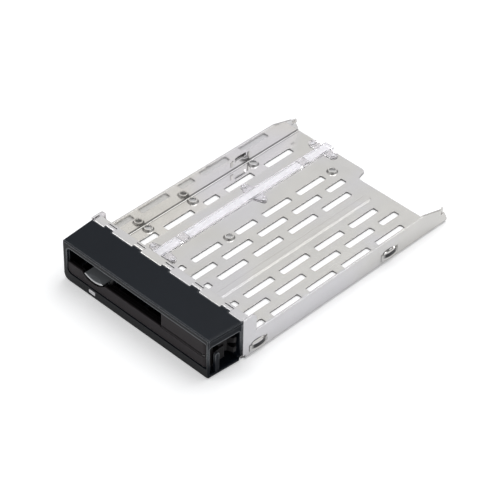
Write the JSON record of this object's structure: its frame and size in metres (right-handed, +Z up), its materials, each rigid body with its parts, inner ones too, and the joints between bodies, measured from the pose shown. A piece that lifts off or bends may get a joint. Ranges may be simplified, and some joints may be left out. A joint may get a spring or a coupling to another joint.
{
  "type": "drive caddy",
  "caption": "Hot swap drive caddy: a perforated folded steel tray with a moulded bezel, a hinged pull lever with a push-button catch, and a clear light guide",
  "frame": {"origin": "middle of the caddy's footprint, on the surface it lies on", "axes": "+Y from the bezel to the open rear end, +Z up, +X to the right seen from the front"},
  "size_m": [0.1088, 0.1714, 0.0258],
  "materials": {
    "steel_sheet": "smooth zinc-plated sheet",
    "bright_steel": "bright",
    "dark_plastic": "fine matte, blue-black",
    "lever_plastic": "fine matte, dark grey-brown",
    "grey_plastic": "satin pale blue-grey",
    "clear_plastic": "clear moulded, slightly frosted"
  },
  "bodies": {
    "caddy": {"tray": "steel_sheet", "bezel_housing": "dark_plastic", "light_guide": "clear_plastic", "lever_pin": "bright_steel", "lever_spring": "bright_steel", "button_spring": "bright_steel", "guide_spring_front_left": "bright_steel", "guide_spring_front_right": "bright_steel", "guide_spring_rear_left": "bright_steel", "guide_spring_rear_right": "bright_steel", "bezel_screw_left": "bright_steel", "bezel_screw_middle": "bright_steel", "bezel_screw_right": "bright_steel"},
    "lever": {"lever_handle": "lever_plastic", "lever_claw": "bright_steel"},
    "button": {"release_button": "grey_plastic"}
  },
  "joints": [
    {"name": "lever_hinge", "type": "hinge", "parent": "caddy", "child": "lever", "pos_m": [0.0461, -0.08235, 0], "axis": [0, 0, 1], "range_deg": [0, 60], "deforming": ["lever_spring"]},
    {"name": "button_slide", "type": "slide", "parent": "caddy", "child": "button", "axis": [0, 0, -1], "range_m": [0, 0.0008], "stiffness_N_per_m": 400, "springref_m": -0.001, "deforming": ["button_spring"]}
  ]
}
